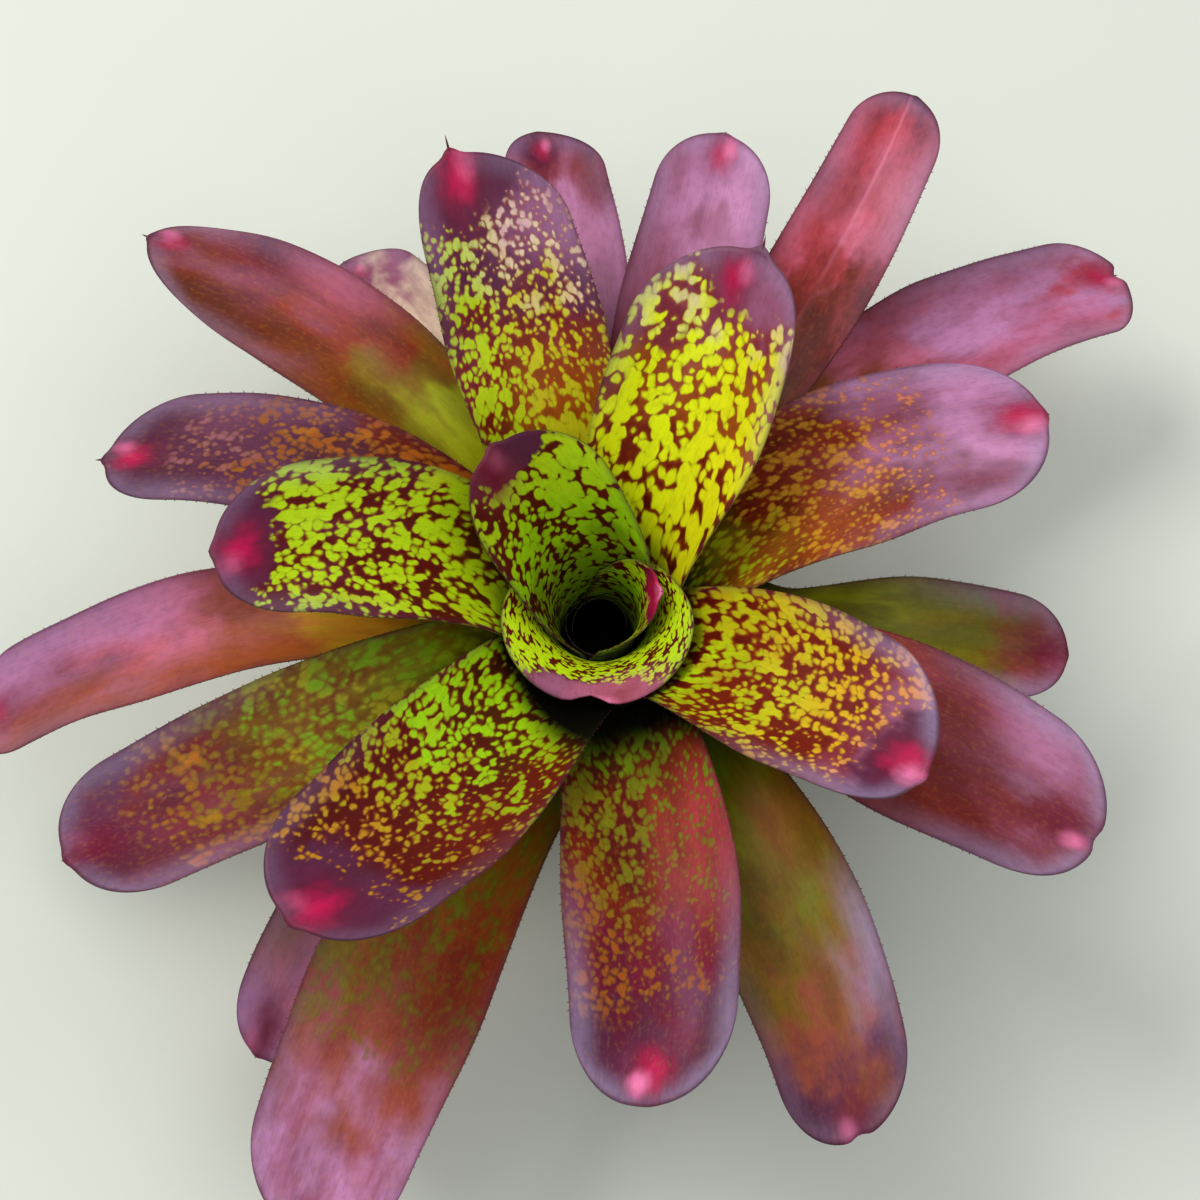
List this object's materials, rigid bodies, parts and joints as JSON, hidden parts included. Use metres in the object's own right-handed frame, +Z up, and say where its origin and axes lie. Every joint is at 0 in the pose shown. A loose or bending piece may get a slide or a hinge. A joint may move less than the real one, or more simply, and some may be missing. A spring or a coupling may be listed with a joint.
{
  "type": "neoregelia bromeliad",
  "caption": "Tank bromeliad: strap leaves nested in a spiral round a short rooted stem, spreading from an open central cup. The cut foot of the stem rests flat.",
  "frame": {"origin": "middle of the stem's flat cut foot, on the surface that the plant rests on", "axes": "+Z up along the stem, -Y towards the side of the short notched collar leaf, +X to the right seen from there"},
  "size_m": [0.4351, 0.4197, 0.2001],
  "materials": {
    "heart_leaf": "satin, green with dark maroon blotches and a pink tip",
    "young_leaf": "satin, lime green with maroon blotches and a purple tip",
    "flecked_leaf": "satin, maroon with small orange flecks",
    "outer_leaf": "satin, mauve to brick red with an olive base",
    "stem": "matte, fibrous"
  },
  "bodies": {
    "root": {"stem": "stem", "leaf_01": "heart_leaf", "leaf_02": "heart_leaf", "leaf_03": "heart_leaf", "leaf_04": "heart_leaf", "leaf_05": "heart_leaf", "leaf_06": "young_leaf", "leaf_07": "young_leaf", "leaf_08": "young_leaf", "leaf_09": "young_leaf", "leaf_10": "young_leaf", "leaf_11": "flecked_leaf", "leaf_12": "flecked_leaf", "leaf_13": "flecked_leaf", "leaf_14": "flecked_leaf", "leaf_15": "outer_leaf", "leaf_16": "outer_leaf", "leaf_17": "outer_leaf", "leaf_18": "outer_leaf", "leaf_19": "outer_leaf", "leaf_20": "outer_leaf", "leaf_21": "outer_leaf", "leaf_22": "outer_leaf", "leaf_23": "outer_leaf", "leaf_24": "outer_leaf", "leaf_25": "outer_leaf", "leaf_26": "outer_leaf"}
  },
  "joints": []
}
